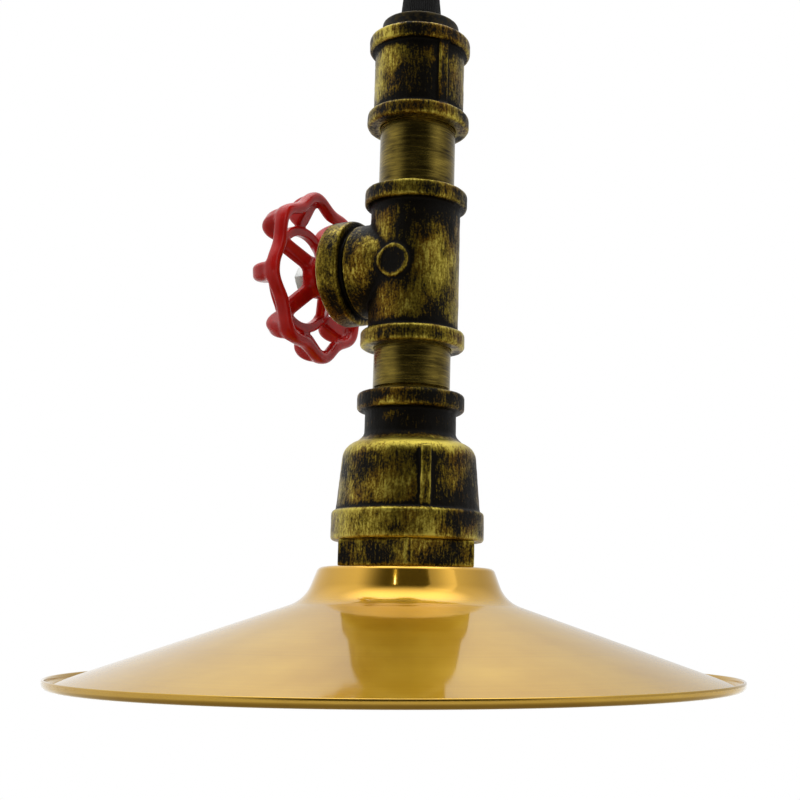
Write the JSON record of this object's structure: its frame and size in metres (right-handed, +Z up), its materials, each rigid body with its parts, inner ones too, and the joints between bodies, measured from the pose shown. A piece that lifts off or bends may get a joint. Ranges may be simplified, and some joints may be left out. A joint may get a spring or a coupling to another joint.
{
  "type": "pendant light",
  "caption": "Hanging lamp built of banded pipe fittings with a lobed handwheel on a side branch, a flat conical spun shade and a screw lampholder inside. It hangs by its cord from the top grip.",
  "frame": {"origin": "centre of the cord's entry, at the top of the cord grip", "axes": "+Z up along the lamp's axis, -X along the tee's branch towards the handwheel"},
  "size_m": [0.2264, 0.2264, 0.2534],
  "materials": {
    "antique_cast": "near-black cast fitting, dry-brushed with antique gold",
    "gilt_pipe": "steel pipe, finely brushed, golden brown lacquer",
    "black_nylon": "black moulded nylon, satin",
    "black_steel": "black satin paint on turned steel",
    "grip_rubber": "black rubber",
    "zinc_steel": "bright zinc plated steel",
    "red_enamel": "red gloss paint on a casting",
    "satin_gold": "spun steel sheet, satin gold lacquer",
    "raw_brass": "turned brass",
    "white_porcelain": "glazed porcelain",
    "holder_black": "black satin lampholder metal",
    "nickel": "nickel plated brass sheet",
    "spring_steel": "bright spring wire"
  },
  "bodies": {
    "fixture": {"cord_grip_cap": "black_nylon", "cord_grip_body": "black_nylon", "cord_grip_insert": "grip_rubber", "cord_grip_locknut": "zinc_steel", "top_plug": "black_steel", "top_socket": "antique_cast", "upper_nipple": "gilt_pipe", "tee": "antique_cast", "lower_nipple": "gilt_pipe", "bell_reducer": "antique_cast", "hex_bush": "antique_cast", "carrier_disc": "zinc_steel", "stem_tube": "raw_brass", "stem_nut": "zinc_steel", "earth_tag": "raw_brass", "branch_bush": "antique_cast", "spindle_washer": "raw_brass", "shade": "satin_gold", "shade_ring": "holder_black", "lampholder_cap": "holder_black", "lampholder_lock_screw": "zinc_steel", "lampholder_core": "white_porcelain", "terminal_screws": "raw_brass", "screw_shell": "nickel", "lampholder_skirt": "holder_black"},
    "handwheel": {"handwheel": "red_enamel", "handwheel_washer": "zinc_steel", "handwheel_nut": "zinc_steel", "spindle": "zinc_steel", "spindle_clip": "spring_steel"},
    "contact": {"centre_contact": "raw_brass", "contact_spring": "spring_steel"}
  },
  "joints": [
    {"name": "handwheel_turn", "type": "hinge", "parent": "fixture", "child": "handwheel", "pos_m": [-0.037, 0, -0.10955], "axis": [-1, 0, 0], "continuous": true},
    {"name": "contact_press", "type": "slide", "parent": "fixture", "child": "contact", "axis": [0, 0, 1], "range_m": [0, 0.0012], "stiffness_N_per_m": 600, "springref_m": -0.001, "deforming": ["contact_spring"]}
  ]
}
